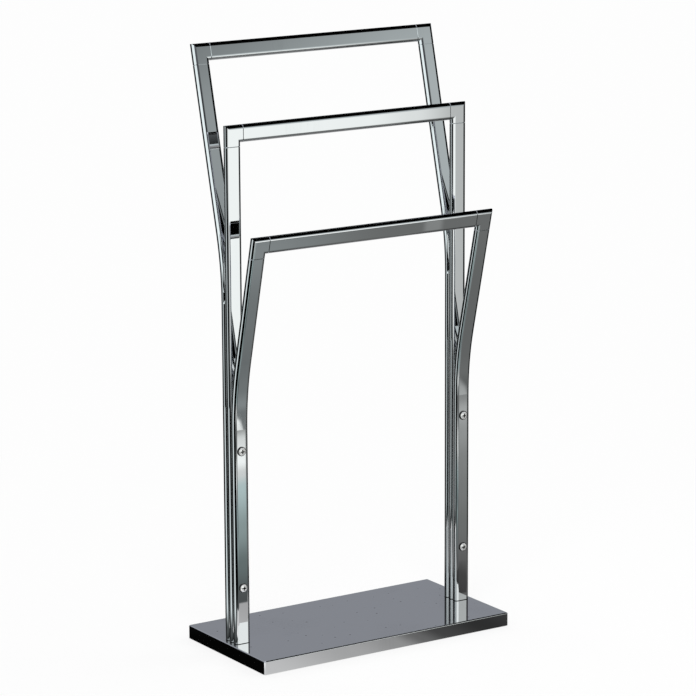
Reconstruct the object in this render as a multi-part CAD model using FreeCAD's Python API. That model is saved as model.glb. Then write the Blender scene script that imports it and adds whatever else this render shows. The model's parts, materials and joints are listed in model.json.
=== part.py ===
"""Freestanding towel stand: three chromed tube frames on a weighted base.

Millimetres, +Z up. The origin is on the floor under the middle of the base.
X runs along the rails, -Y is the front, where the lowest rail is.

Three flat-oval tubes stand face to face at each end of the base. The middle
pair goes straight up, the front pair bends forward and the back pair bends
backward, so the three rails lie at three heights one behind the other. Cast
elbows with a mitred outside corner plug into the tubes and hold the rails.
"""
import FreeCAD, Part
import math
import os

Vector = FreeCAD.Vector
X_AXIS = Vector(1, 0, 0)
Y_AXIS = Vector(0, 1, 0)
Z_AXIS = Vector(0, 0, 1)

# ---- driving dimensions -------------------------------------------------

# pressed base cover
base_length = 420.0
base_depth = 210.0
rim_height = 19.5
cover_wall = 1.2
cover_corner_radius = 3.0
cover_edge_radius = 1.8
least_inside_radius = 0.3

# weight plate under the cover
plate_thickness = 4.0
plate_inset = 8.0
plate_corner_radius = 8.0

# rubber feet, pushed into the weight plate from below
floor_gap = 1.0
foot_top_diameter = 24.0
foot_bottom_diameter = 21.0
foot_edge = 1.0
foot_stem_diameter = 8.0
foot_stem_clearance = 0.5
foot_inset_x = 34.0
foot_inset_y = 32.0

# flat-oval tube, the same for uprights and rails
tube_width = 25.0
tube_depth = 11.0
tube_wall = 1.0

# the three frames, set in from the ends of the base
frame_inset = 7.5
front_rail_height = 617.0
middle_rail_height = 764.0
back_rail_height = 868.0
front_bend_height = 383.0
back_bend_height = 561.0
lean_angle = 14.0
bend_radius = 400.0

# cast elbows between uprights and rails
elbow_reach_along_rail = 28.0
elbow_reach_down_upright = 30.0
spigot_length = 22.0
spigot_chamfer = 1.0
seam_gap = 0.3
seam_chamfer = 0.4

# plugs in the feet of the uprights
plug_length = 25.0
plug_chamfer = 0.8

# screws that hold the uprights down, from below
base_screw_diameter = 5.0
base_screw_engagement = 15.0
base_screw_head_height = 4.0
washer_thickness = 1.0
washer_spacing = 1.0
washer_margin = 0.7

# screws that clamp the three tubes of each side together, from the front
clamp_screw_diameter = 6.0
clamp_head_diameter = 13.5
clamp_head_height = 3.6
clamp_head_rim = 0.9
lower_clamp_above_base = 82.5
upper_clamp_below_bend = 31.0

# blind rivet nuts in the back uprights, which take the clamp screws
nut_body_diameter = 9.0
nut_flange_diameter = 11.0
nut_flange_thickness = 0.6
nut_collar_diameter = 11.5
nut_collar_length = 2.0
nut_end_clearance = 2.0

# clearances
slide_clearance = 0.1
thread_clearance = 0.1
hole_clearance = 0.25

# ---- sizes worked out from them -----------------------------------------

base_top = floor_gap + rim_height
plate_top = base_top - cover_wall
plate_bottom = plate_top - plate_thickness
round_radius = tube_depth / 2
frame_width = base_length - 2 * frame_inset
upright_x = frame_width / 2 - tube_width / 2
lean = math.radians(lean_angle)
bend_tangent = bend_radius * math.tan(lean / 2)
lower_clamp_height = base_top + lower_clamp_above_base
upper_clamp_height = front_bend_height - bend_tangent - upper_clamp_below_bend
spigot_width = tube_width - 2 * tube_wall - 2 * slide_clearance
spigot_depth = tube_depth - 2 * tube_wall - 2 * slide_clearance
washer_diameter = tube_depth - washer_spacing
base_screw_head_diameter = washer_diameter - 2 * washer_margin
nut_length = tube_depth - tube_wall - nut_end_clearance
clamp_screw_length = 2 * tube_depth + nut_length

FRONT = -1
MIDDLE = 0
BACK = 1
ROWS = {"front": FRONT, "middle": MIDDLE, "back": BACK}
SIDES = {"left": -1, "right": 1}
rail_height = {FRONT: front_rail_height, MIDDLE: middle_rail_height, BACK: back_rail_height}
# the height where each frame's leaned part turns off the vertical
pivot_height = {FRONT: front_bend_height, MIDDLE: base_top, BACK: back_bend_height}


def row_y(row):
    """Middle plane of a row's uprights where they stand on the base."""
    return row * tube_depth


def frame_lean(row):
    """Lean of a row's upper part from the vertical, in radians."""
    return abs(row) * lean


def frame_length(row):
    """Distance from a frame's pivot to its top edge, along the frame."""
    rise_to_round = rail_height[row] - round_radius - pivot_height[row]
    return rise_to_round / math.cos(frame_lean(row)) + round_radius


def place_in_frame(shape, row):
    """Move a shape from a frame's own axes (z up from its pivot) to its place."""
    placed = shape.copy()
    placed.rotate(Vector(0, 0, 0), X_AXIS, -row * lean_angle)
    placed.translate(Vector(0, row_y(row), pivot_height[row]))
    return placed


# ---- basic shapes -------------------------------------------------------

def oval_wire(width, depth):
    """Flat-oval outline in the XY plane: two flats and two half rounds."""
    radius = depth / 2
    flat = width / 2 - radius
    right_end = Vector(flat + radius, 0, 0)
    left_end = Vector(-flat - radius, 0, 0)
    front = Part.LineSegment(Vector(-flat, -radius, 0), Vector(flat, -radius, 0))
    right = Part.Arc(Vector(flat, -radius, 0), right_end, Vector(flat, radius, 0))
    back = Part.LineSegment(Vector(flat, radius, 0), Vector(-flat, radius, 0))
    left = Part.Arc(Vector(-flat, radius, 0), left_end, Vector(-flat, -radius, 0))
    return Part.Wire([front.toShape(), right.toShape(), back.toShape(), left.toShape()])


def oval_bar(width, depth, length):
    """Solid flat-oval bar standing on the XY plane."""
    return Part.Face(oval_wire(width, depth)).extrude(Z_AXIS * length)


def tube_section():
    """Cross-section of the tube, lying in the XY plane."""
    outer = Part.Face(oval_wire(tube_width, tube_depth))
    inner = Part.Face(oval_wire(tube_width - 2 * tube_wall, tube_depth - 2 * tube_wall))
    return outer.cut(inner).Faces[0]


def edges_at_height(shape, height, outline_width):
    """Edges that lie flat at a height and belong to an outline of that width."""
    chosen = []
    for edge in shape.Edges:
        box = edge.BoundBox
        flat = abs(box.ZMin - height) < 1e-6 and abs(box.ZMax - height) < 1e-6
        reach = max(abs(box.XMin), abs(box.XMax))
        half_depth = max(abs(box.YMin), abs(box.YMax))
        on_round = abs(reach - outline_width / 2) < 1e-6
        on_flat = abs(half_depth - tube_depth / 2) < 1e-6
        if flat and (on_round or on_flat):
            chosen.append(edge)
    return chosen


def straight_tube(length, chamfered_ends):
    """Tube standing on the XY plane; the listed ends get a small chamfer."""
    tube = tube_section().extrude(Z_AXIS * length)
    for height in chamfered_ends:
        tube = tube.makeChamfer(seam_chamfer, edges_at_height(tube, height, tube_width))
    return tube


def cylinder(diameter, length, base, direction):
    return Part.makeCylinder(diameter / 2, length, base, direction)


def revolved(points, base, direction):
    """Solid of revolution from (radius, height) points, set along a direction."""
    outline = [Vector(radius, 0, height) for radius, height in points]
    face = Part.Face(Part.makePolygon(outline + [outline[0]]))
    solid = face.revolve(Vector(0, 0, 0), Z_AXIS, 360)
    turn = FreeCAD.Rotation(Z_AXIS, direction)
    solid.Placement = FreeCAD.Placement(base, turn)
    return solid


def one_solid(shape):
    """The single solid of a boolean result, with split faces joined again."""
    solids = shape.removeSplitter().Solids
    if len(solids) != 1:
        raise ValueError("expected one solid, got %d" % len(solids))
    return solids[0]


# ---- base ---------------------------------------------------------------

def screw_places():
    """Places of the six base screws, one under each upright."""
    return [(side * upright_x, row_y(row)) for side in SIDES.values() for row in ROWS.values()]


def rounded_block(length, depth, height, corner_radius):
    """Block on the XY plane, centred, with rounded upright edges."""
    block = Part.makeBox(length, depth, height, Vector(-length / 2, -depth / 2, 0))
    upright_edges = [edge for edge in block.Edges if edge.BoundBox.ZLength > height / 2]
    return block.makeFillet(corner_radius, upright_edges)


def round_top(block, height, radius):
    top_edges = [edge for edge in block.Edges if edge.BoundBox.ZMin > height - 1e-6]
    return block.makeFillet(radius, top_edges)


def base_cover():
    """Pressed steel cover: a flat top with a turned-down rim all round."""
    outer = rounded_block(base_length, base_depth, rim_height, cover_corner_radius)
    outer = round_top(outer, rim_height, cover_edge_radius)
    inner_height = rim_height - cover_wall
    inner = rounded_block(
        base_length - 2 * cover_wall,
        base_depth - 2 * cover_wall,
        inner_height,
        max(cover_corner_radius - cover_wall, least_inside_radius),
    )
    inner = round_top(inner, inner_height, max(cover_edge_radius - cover_wall, least_inside_radius))
    cover = outer.cut(inner)
    cover.translate(Vector(0, 0, floor_gap))
    hole = base_screw_diameter + 2 * hole_clearance
    for x, y in screw_places():
        cover = cover.cut(cylinder(hole, rim_height, Vector(x, y, plate_bottom), Z_AXIS))
    return one_solid(cover)


def foot_places():
    foot_x = base_length / 2 - foot_inset_x
    foot_y = base_depth / 2 - foot_inset_y
    places = {}
    for side_name, side in SIDES.items():
        places["front_" + side_name] = (side * foot_x, -foot_y)
        places["back_" + side_name] = (side * foot_x, foot_y)
    return places


def ballast_plate():
    """Steel plate under the cover, which gives the stand its weight."""
    inset = cover_wall + plate_inset
    plate = rounded_block(
        base_length - 2 * inset,
        base_depth - 2 * inset,
        plate_thickness,
        plate_corner_radius,
    )
    plate.translate(Vector(0, 0, plate_bottom))
    screw_hole = base_screw_diameter + 2 * hole_clearance
    for x, y in screw_places():
        plate = plate.cut(cylinder(screw_hole, plate_thickness, Vector(x, y, plate_bottom), Z_AXIS))
    stem_hole = foot_stem_diameter + 2 * slide_clearance
    for x, y in foot_places().values():
        plate = plate.cut(cylinder(stem_hole, plate_thickness, Vector(x, y, plate_bottom), Z_AXIS))
    return one_solid(plate)


def foot(x, y):
    """Tapered rubber foot with a stem that is pushed into the plate."""
    bottom_radius = foot_bottom_diameter / 2
    stem_radius = foot_stem_diameter / 2
    stem_top = plate_top - foot_stem_clearance
    outline = [
        (0, 0),
        (bottom_radius - foot_edge, 0),
        (bottom_radius, foot_edge),
        (foot_top_diameter / 2, plate_bottom),
        (stem_radius, plate_bottom),
        (stem_radius, stem_top),
        (0, stem_top),
    ]
    return revolved(outline, Vector(x, y, 0), Z_AXIS)


# ---- frames -------------------------------------------------------------

def upright(row, side):
    """Upright of one row and side, from the base to the elbow's seam."""
    seam = frame_length(row) - elbow_reach_down_upright - seam_gap
    if row == MIDDLE:
        tube = straight_tube(seam, [seam])
        tube = place_in_frame(tube, row)
    else:
        leaned_length = seam - bend_tangent
        leaned = straight_tube(leaned_length, [leaned_length])
        leaned.translate(Z_AXIS * bend_tangent)
        leaned = place_in_frame(leaned, row)

        bend_start = pivot_height[row] - bend_tangent
        lower = straight_tube(bend_start - base_top, [])
        lower.translate(Vector(0, row_y(row), base_top))

        bend_section = tube_section()
        bend_section.translate(Vector(0, row_y(row), bend_start))
        bend_centre = Vector(0, row_y(row) + row * bend_radius, bend_start)
        bend = bend_section.revolve(bend_centre, X_AXIS, -row * lean_angle)
        tube = one_solid(lower.fuse([bend, leaned]))
    tube.translate(X_AXIS * side * upright_x)
    for height in (lower_clamp_height, upper_clamp_height):
        tube = tube.cut(clamp_hole(row, side, height))
    return tube


def clamp_hole(row, side, height):
    """Holes of a clamp screw through one upright."""
    x = side * upright_x
    front_face = row_y(row) - tube_depth / 2
    back_face = row_y(row) + tube_depth / 2
    screw_hole = clamp_screw_diameter + 2 * hole_clearance
    if row == FRONT:
        return cylinder(screw_hole, tube_depth, Vector(x, front_face, height), Y_AXIS)
    if row == MIDDLE:
        flange_hole = nut_flange_diameter + 2 * hole_clearance
        narrow = cylinder(screw_hole, tube_depth, Vector(x, front_face, height), Y_AXIS)
        wide = cylinder(flange_hole, tube_wall, Vector(x, back_face, height), -Y_AXIS)
        return narrow.fuse(wide)
    body_hole = nut_body_diameter + 2 * slide_clearance
    return cylinder(body_hole, tube_wall, Vector(x, front_face, height), Y_AXIS)


def rail(row):
    """Straight tube between the two elbows of a frame."""
    reach = elbow_reach_along_rail + seam_gap
    length = frame_width - 2 * reach
    tube = straight_tube(length, [0, length])
    # lay it along X with its wide side upright, its top edge at the frame's top
    tube.rotate(Vector(0, 0, 0), Y_AXIS, 90)
    tube.translate(Vector(-length / 2, 0, frame_length(row) - tube_width / 2))
    return place_in_frame(tube, row)


def elbow_arm(length):
    """Arm of an elbow standing on the XY plane, chamfered at its shoulder."""
    arm = oval_bar(tube_width, tube_depth, length)
    arm = arm.makeChamfer(seam_chamfer, edges_at_height(arm, length, tube_width))
    spigot = oval_bar(spigot_width, spigot_depth, spigot_length)
    spigot_edges = [edge for edge in spigot.Edges if edge.BoundBox.ZMin > spigot_length - 1e-6]
    spigot = spigot.makeChamfer(spigot_chamfer, spigot_edges)
    spigot.translate(Z_AXIS * length)
    return arm, spigot


def elbow(row, side):
    """Cast elbow: two oval arms mitred at the outside corner, with spigots.

    It is drawn with its outside corner at the origin, one arm along +X and
    one down -Z, and is then turned over for the right-hand side.
    """
    rail_arm, rail_spigot = elbow_arm(elbow_reach_along_rail)
    for piece in (rail_arm, rail_spigot):
        piece.rotate(Vector(0, 0, 0), Y_AXIS, 90)
        piece.translate(Z_AXIS * -tube_width / 2)
    down_arm, down_spigot = elbow_arm(elbow_reach_down_upright)
    for piece in (down_arm, down_spigot):
        piece.rotate(Vector(0, 0, 0), Y_AXIS, 180)
        piece.translate(X_AXIS * tube_width / 2)

    # wedges on either side of the mitre plane x = -z
    size = 2 * max(elbow_reach_along_rail, elbow_reach_down_upright)
    corner = Vector(0, -size, 0)
    diagonal = Vector(size, -size, -size)
    below = Part.Face(Part.makePolygon([corner, diagonal, Vector(0, -size, -size), corner]))
    above = Part.Face(Part.makePolygon([corner, Vector(size, -size, 0), diagonal, corner]))
    down_arm = down_arm.common(below.extrude(Y_AXIS * 2 * size))
    rail_arm = rail_arm.common(above.extrude(Y_AXIS * 2 * size))
    body = one_solid(rail_arm.fuse([down_arm, rail_spigot, down_spigot]))

    if side == SIDES["right"]:
        body = body.mirror(Vector(0, 0, 0), X_AXIS)
    body.translate(Vector(side * frame_width / 2, 0, frame_length(row)))
    return place_in_frame(body, row)


def plug(row, side):
    """Threaded plug pressed into the foot of an upright."""
    block = oval_bar(spigot_width, spigot_depth, plug_length)
    top_edges = [edge for edge in block.Edges if edge.BoundBox.ZMin > plug_length - 1e-6]
    block = block.makeChamfer(plug_chamfer, top_edges)
    block = block.cut(cylinder(base_screw_diameter, plug_length, Vector(0, 0, 0), Z_AXIS))
    block.translate(Vector(side * upright_x, row_y(row), base_top))
    return one_solid(block)


# ---- fasteners ----------------------------------------------------------

def base_screw(x, y):
    """Cap screw from below; its head bears on a washer under the plate."""
    head_top = plate_bottom - washer_thickness
    tip = base_top + base_screw_engagement
    head_radius = base_screw_head_diameter / 2
    shank_radius = base_screw_diameter / 2 - thread_clearance
    outline = [
        (0, head_top - base_screw_head_height),
        (head_radius, head_top - base_screw_head_height),
        (head_radius, head_top),
        (shank_radius, head_top),
        (shank_radius, tip),
        (0, tip),
    ]
    return revolved(outline, Vector(x, y, 0), Z_AXIS)


def base_washer(x, y):
    base = Vector(x, y, plate_bottom - washer_thickness)
    disc = cylinder(washer_diameter, washer_thickness, base, Z_AXIS)
    hole = base_screw_diameter + hole_clearance
    return disc.cut(cylinder(hole, washer_thickness, base, Z_AXIS))


def clamp_places():
    """Points on the front uprights' front faces where the clamp screws enter."""
    front_face = row_y(FRONT) - tube_depth / 2
    heights = (lower_clamp_height, upper_clamp_height)
    return [Vector(side * upright_x, front_face, z) for side in SIDES.values() for z in heights]


def clamp_screw(place):
    """Domed screw; its head lies on the front upright."""
    head_radius = clamp_head_diameter / 2
    shank_radius = clamp_screw_diameter / 2 - thread_clearance
    dome_rise = clamp_head_height - clamp_head_rim
    sphere_radius = (head_radius ** 2 + dome_rise ** 2) / (2 * dome_rise)
    dome = Part.makeSphere(sphere_radius, Vector(0, 0, clamp_head_height - sphere_radius))
    head = Part.makeCylinder(head_radius, clamp_head_height).common(dome)
    shank = Part.makeCylinder(shank_radius, clamp_screw_length, Vector(0, 0, 0), -Z_AXIS)
    screw = one_solid(head.fuse(shank))
    screw.Placement = FreeCAD.Placement(place, FreeCAD.Rotation(Z_AXIS, -Y_AXIS))
    return screw


def rivet_nut(place):
    """Rivet nut in the back upright, with its flange let into the middle one."""
    seat = Vector(place.x, row_y(BACK) - tube_depth / 2, place.z)
    bore_radius = clamp_screw_diameter / 2
    body_radius = nut_body_diameter / 2
    collar_radius = nut_collar_diameter / 2
    collar_end = tube_wall + nut_collar_length
    outline = [
        (bore_radius, -nut_flange_thickness),
        (nut_flange_diameter / 2, -nut_flange_thickness),
        (nut_flange_diameter / 2, 0),
        (body_radius, 0),
        (body_radius, tube_wall),
        (collar_radius, tube_wall),
        (body_radius, collar_end),
        (body_radius, nut_length),
        (bore_radius, nut_length),
    ]
    return revolved(outline, seat, Y_AXIS)


# ---- build --------------------------------------------------------------

def build_nodes():
    """All pieces by the name of their node."""
    nodes = {"base_cover": base_cover(), "ballast_plate": ballast_plate()}
    for name, (x, y) in foot_places().items():
        nodes["foot_" + name] = foot(x, y)
    for row_name, row in ROWS.items():
        nodes["rail_" + row_name] = rail(row)
        for side_name, side in SIDES.items():
            end = "%s_%s" % (row_name, side_name)
            nodes["upright_" + end] = upright(row, side)
            nodes["corner_" + end] = elbow(row, side)
            nodes["plug_" + end] = plug(row, side)
    nodes["base_screws"] = Part.makeCompound([base_screw(x, y) for x, y in screw_places()])
    nodes["base_washers"] = Part.makeCompound([base_washer(x, y) for x, y in screw_places()])
    nodes["clamp_screws"] = Part.makeCompound([clamp_screw(place) for place in clamp_places()])
    nodes["rivet_nuts"] = Part.makeCompound([rivet_nut(place) for place in clamp_places()])
    return nodes


os.makedirs("parts", exist_ok=True)
for node_name, node_shape in build_nodes().items():
    node_shape.exportStep("parts/%s.step" % node_name)
    print("%-24s %2d solid(s) %12.1f mm3" % (node_name, len(node_shape.Solids), node_shape.Volume))
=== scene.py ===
"""Freestanding towel stand: screws, finishes and studio, laid out as a Blender add-on.

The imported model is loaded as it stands. Its chromed tubes, elbows, base and small
parts keep their shapes and get finished materials here. The screws that show are
modelled again with their recesses. Everything is in metres, on the model's own axes.
"""

import json
import math

import bmesh
import bpy
from bpy.props import FloatProperty, FloatVectorProperty, IntProperty, PointerProperty
from mathutils import Matrix, Vector

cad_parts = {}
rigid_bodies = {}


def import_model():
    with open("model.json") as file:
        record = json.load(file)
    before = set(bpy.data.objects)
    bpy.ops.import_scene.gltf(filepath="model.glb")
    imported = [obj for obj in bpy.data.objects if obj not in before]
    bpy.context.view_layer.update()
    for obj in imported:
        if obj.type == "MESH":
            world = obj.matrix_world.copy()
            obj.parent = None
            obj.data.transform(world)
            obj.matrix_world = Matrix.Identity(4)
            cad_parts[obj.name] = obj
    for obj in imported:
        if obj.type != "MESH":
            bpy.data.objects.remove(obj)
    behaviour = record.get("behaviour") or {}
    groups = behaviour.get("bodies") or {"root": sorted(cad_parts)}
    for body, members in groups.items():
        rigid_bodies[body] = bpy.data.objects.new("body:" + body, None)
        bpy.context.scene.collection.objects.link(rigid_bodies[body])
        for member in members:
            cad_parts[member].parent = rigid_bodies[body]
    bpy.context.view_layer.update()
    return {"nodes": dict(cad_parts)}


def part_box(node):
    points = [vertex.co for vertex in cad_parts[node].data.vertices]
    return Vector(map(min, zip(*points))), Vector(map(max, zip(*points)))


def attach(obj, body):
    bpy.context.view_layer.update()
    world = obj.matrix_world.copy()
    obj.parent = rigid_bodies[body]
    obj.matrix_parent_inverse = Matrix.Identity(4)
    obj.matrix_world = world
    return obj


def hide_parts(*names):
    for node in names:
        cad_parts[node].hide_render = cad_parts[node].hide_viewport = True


bl_info = {
    "name": "Towel stand",
    "version": (1, 0, 0),
    "blender": (4, 5, 0),
    "location": "3D View > Sidebar > Towel Stand",
    "description": "Screws, finishes and studio for a freestanding towel stand",
    "category": "Object",
}

for leftover in list(bpy.data.objects):
    bpy.data.objects.remove(leftover)

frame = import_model()

BODY = "root"
MM = 0.001

CLAMP_LOW, CLAMP_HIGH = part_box("clamp_screws")
BASE_LOW, BASE_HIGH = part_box("base_screws")
UPRIGHT_LOW, UPRIGHT_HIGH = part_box("upright_middle_left")

TUBE_DEPTH = UPRIGHT_HIGH.y - UPRIGHT_LOW.y
FRONT_FACE_Y = UPRIGHT_LOW.y - TUBE_DEPTH
ROWS = ("front", "middle", "back")
SIDES = ("left", "right")
# Face attribute that marks where the screws get painted shade and a painted dark reflection.
PAINTED_SHADE_ATTRIBUTE = "painted_shade"
NUMBER = "NodeSocketFloat"

# A face looks along an axis where its normal's share of that axis is above SQUARE_ON.
# A face counts as a screw's top above the NEAR_TOP share of its height.
SQUARE_ON = 0.9
NEAR_TOP = 0.9

# What the properties share: a length in metres, a share from 0 to 1, and a colour.
LENGTH = {"min": 0.0, "subtype": "DISTANCE", "unit": "LENGTH"}
SHARE = {"min": 0.0, "max": 1.0}
COLOUR = {"size": 3, "subtype": "COLOR", "min": 0.0, "max": 1.0}


# ---- sizes and colours that a user may change ----

class StandScrewSizes(bpy.types.PropertyGroup):
    """Sizes of the screws that are modelled here."""

    head_diameter: FloatProperty(
        name="Clamp head diameter", description="Across the domed head of a clamp screw",
        default=13.5 * MM, **LENGTH)
    head_rim: FloatProperty(
        name="Clamp head rim", description="Height of the head's upright edge",
        default=0.9 * MM, **LENGTH)
    head_height: FloatProperty(
        name="Clamp head height", description="From the tube to the top of the dome",
        default=3.6 * MM, **LENGTH)
    dome_rings: IntProperty(
        name="Dome rings", description="Rings of faces that make up the dome",
        default=9, min=3)
    cross_span: FloatProperty(
        name="Cross recess span", description="Across the cross recess at its mouth",
        default=7.4 * MM, **LENGTH)
    cross_width: FloatProperty(
        name="Cross recess width", description="Width of one arm of the cross",
        default=1.9 * MM, **LENGTH)
    cross_depth: FloatProperty(
        name="Cross recess depth", description="From the top of the dome to its bottom",
        default=2.6 * MM, **LENGTH)
    clamp_shank: FloatProperty(
        name="Clamp shank diameter", description="Across the shank of a clamp screw",
        default=5.8 * MM, **LENGTH)
    cap_diameter: FloatProperty(
        name="Cap head diameter", description="Across the head of a base screw",
        default=8.6 * MM, **LENGTH)
    cap_height: FloatProperty(
        name="Cap head height", description="Height of the head of a base screw",
        default=4.0 * MM, **LENGTH)
    socket_width: FloatProperty(
        name="Socket width", description="Across the flats of the six-sided socket",
        default=4.0 * MM, **LENGTH)
    socket_depth: FloatProperty(
        name="Socket depth", description="Depth of the six-sided socket",
        default=2.4 * MM, **LENGTH)
    cap_shank: FloatProperty(
        name="Base shank diameter", description="Across the shank of a base screw",
        default=4.8 * MM, **LENGTH)


class StandFinishes(bpy.types.PropertyGroup):
    """Colours and surface quality of the finishes."""

    chrome_colour: FloatVectorProperty(
        name="Chrome", description="Colour that the chrome plate reflects",
        default=(0.84, 0.85, 0.86), **COLOUR)
    chrome_haze: FloatProperty(
        name="Chrome haze", description="Roughness of the clean chrome plate",
        default=0.02, **SHARE)
    wipe_marks: FloatProperty(
        name="Wipe marks", description="Roughness that faint wipe marks add",
        default=0.035, **SHARE)
    foot_line: FloatProperty(
        name="Foot line", description="Height of the dark line where a tube meets the base",
        default=0.8 * MM, **LENGTH)
    dust: FloatProperty(
        name="Dust", description="Strength of the specks that lie on the base",
        default=0.75, **SHARE)
    screw_colour: FloatVectorProperty(
        name="Screw chrome", description="Colour that the plated screws reflect",
        default=(0.93, 0.94, 0.92), **COLOUR)
    zinc_colour: FloatVectorProperty(
        name="Zinc plate", description="Colour of the zinc-plated hardware",
        default=(0.60, 0.62, 0.64), **COLOUR)
    aluminium_colour: FloatVectorProperty(
        name="Aluminium", description="Colour of the machined foot plugs",
        default=(0.66, 0.66, 0.67), **COLOUR)
    paint_colour: FloatVectorProperty(
        name="Weight plate paint", description="Colour of the paint on the weight plate",
        default=(0.035, 0.035, 0.038), **COLOUR)
    rubber_colour: FloatVectorProperty(
        name="Rubber", description="Colour of the rubber feet",
        default=(0.022, 0.022, 0.023), **COLOUR)


class StandStudio(bpy.types.PropertyGroup):
    """Camera and light."""

    camera_turn: FloatProperty(
        name="Camera turn", description="Turn of the camera round the stand, from the front",
        default=math.radians(-33.09), subtype="ANGLE", unit="ROTATION")
    camera_rise: FloatProperty(
        name="Camera rise", description="Angle of the camera above the horizon",
        default=math.radians(12.63), subtype="ANGLE", unit="ROTATION")
    camera_roll: FloatProperty(
        name="Camera roll", description="Roll of the camera about its own axis",
        default=math.radians(-0.27), subtype="ANGLE", unit="ROTATION")
    camera_distance: FloatProperty(
        name="Camera distance", description="From the camera to the point it looks at",
        default=4.8355, min=0.1, subtype="DISTANCE", unit="LENGTH")
    camera_target: FloatVectorProperty(
        name="Camera target", description="Point that the camera looks at",
        default=(0.0001, 0.0, 0.4248), subtype="XYZ", unit="LENGTH", size=3)
    lens: FloatProperty(
        name="Lens", description="Focal length on a 36 mm sensor, in millimetres",
        default=174.71, min=1.0)
    floor_radius: FloatProperty(
        name="Floor radius", description="Radius of the pale floor",
        default=1.7, min=0.5, subtype="DISTANCE", unit="LENGTH")
    page_white: FloatProperty(
        name="Page white", description="Brightness of the floor and backdrop, where 1 is white",
        default=0.985, **SHARE)
    fill: FloatProperty(
        name="Fill light", description="Brightness of the even light from all round",
        default=0.55, min=0.0)


# ---- helpers for modelling ----

def deselect_everything():
    """Leave nothing selected, so that an operator acts only on the new piece."""
    if bpy.context.object and bpy.context.object.mode != "OBJECT":
        bpy.ops.object.mode_set(mode="OBJECT")
    bpy.ops.object.select_all(action="DESELECT")


def make_active(piece):
    """Select one object alone and make it the active one."""
    deselect_everything()
    piece.select_set(True)
    bpy.context.view_layer.objects.active = piece


def select_faces(piece, wanted):
    """In edit mode, select the faces whose centre and normal pass a test."""
    bpy.ops.mesh.select_mode(type="FACE")
    bpy.ops.mesh.select_all(action="DESELECT")
    mesh = bmesh.from_edit_mesh(piece.data)
    for face in mesh.faces:
        face.select_set(bool(wanted(face.calc_center_median(), face.normal)))
    bmesh.update_edit_mesh(piece.data)


def facing_up_above(height):
    """Test for faces that look up and lie above a height."""
    return lambda centre, normal: normal.z > SQUARE_ON and centre.z > height


def facing_down(centre, normal):
    """Test for faces that look down."""
    return normal.z < -SQUARE_ON


def facing_aside(centre, normal):
    """Test for upright faces."""
    return abs(normal.z) < 1 - SQUARE_ON


def extrude_up(height):
    """In edit mode, pull the selected faces out along Z; a negative height goes down."""
    bpy.ops.mesh.extrude_region_move(TRANSFORM_OT_translate={"value": (0, 0, height)})


def combine(piece, other, operation):
    """Cut another mesh out of a piece, or join the two, and remove the other."""
    make_active(piece)
    boolean = piece.modifiers.new("combine", "BOOLEAN")
    boolean.operation = operation
    boolean.solver = "EXACT"
    boolean.object = other
    bpy.ops.object.modifier_apply(modifier=boolean.name)
    bpy.data.objects.remove(other)


def soften_edges(piece, width, angle):
    """Round the sharp edges slightly and shade the rest smooth."""
    make_active(piece)
    bevel = piece.modifiers.new("softened edges", "BEVEL")
    bevel.width = width
    bevel.segments = 2
    bevel.limit_method = "ANGLE"
    bevel.angle_limit = angle
    bpy.ops.object.modifier_apply(modifier=bevel.name)
    bpy.ops.object.shade_smooth_by_angle(angle=math.radians(35))


def settle(piece):
    """Apply the piece's place, so that its object sits at the origin."""
    make_active(piece)
    bpy.ops.object.transform_apply(location=True, rotation=True, scale=True)


def start_cylinder(vertices, radius, depth, middle):
    """Upright cylinder with its middle at a height, left in edit mode."""
    bpy.ops.mesh.primitive_cylinder_add(
        vertices=vertices, radius=radius, depth=depth, location=(0, 0, middle))
    cylinder = bpy.context.object
    settle(cylinder)
    bpy.ops.object.mode_set(mode="EDIT")
    return cylinder


def draw_shank(screw, head_radius, shank_diameter, length):
    """Inset the face under the head, pull the shank out of it and leave edit mode."""
    select_faces(screw, facing_down)
    bpy.ops.mesh.inset(thickness=head_radius - shank_diameter / 2, depth=0)
    extrude_up(-length)
    bpy.ops.object.mode_set(mode="OBJECT")


def join_copies(pattern, places, turn, name):
    """Copy a piece that is modelled at the origin to each place, and join the copies."""
    copies = []
    for place in places:
        copy = pattern.copy()
        copy.data = pattern.data.copy()
        bpy.context.collection.objects.link(copy)
        copy.matrix_world = Matrix.Translation(place) @ turn
        copies.append(copy)
    bpy.data.objects.remove(pattern)
    deselect_everything()
    for copy in copies:
        copy.select_set(True)
    bpy.context.view_layer.objects.active = copies[0]
    bpy.ops.object.join()
    joined = bpy.context.object
    joined.name = name
    joined.data.name = name
    settle(joined)
    return joined


# ---- pieces modelled here ----

def cross_cutter(sizes):
    """Cross-shaped cutter for the recess, narrower at its bottom."""
    taper = 0.42
    arms = []
    middle = sizes.head_height - sizes.cross_depth / 2
    for length, width in ((sizes.cross_span, sizes.cross_width),
                          (sizes.cross_width, sizes.cross_span)):
        bpy.ops.mesh.primitive_cube_add(
            size=1.0, location=(0, 0, middle), scale=(length, width, sizes.cross_depth))
        arm = bpy.context.object
        settle(arm)
        bpy.ops.object.mode_set(mode="EDIT")
        select_faces(arm, facing_down)
        bpy.ops.transform.resize(value=(taper, taper, 1.0))
        select_faces(arm, facing_up_above(middle))
        extrude_up(sizes.head_rim)
        bpy.ops.object.mode_set(mode="OBJECT")
        arms.append(arm)
    combine(arms[0], arms[1], "UNION")
    return arms[0]


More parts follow.
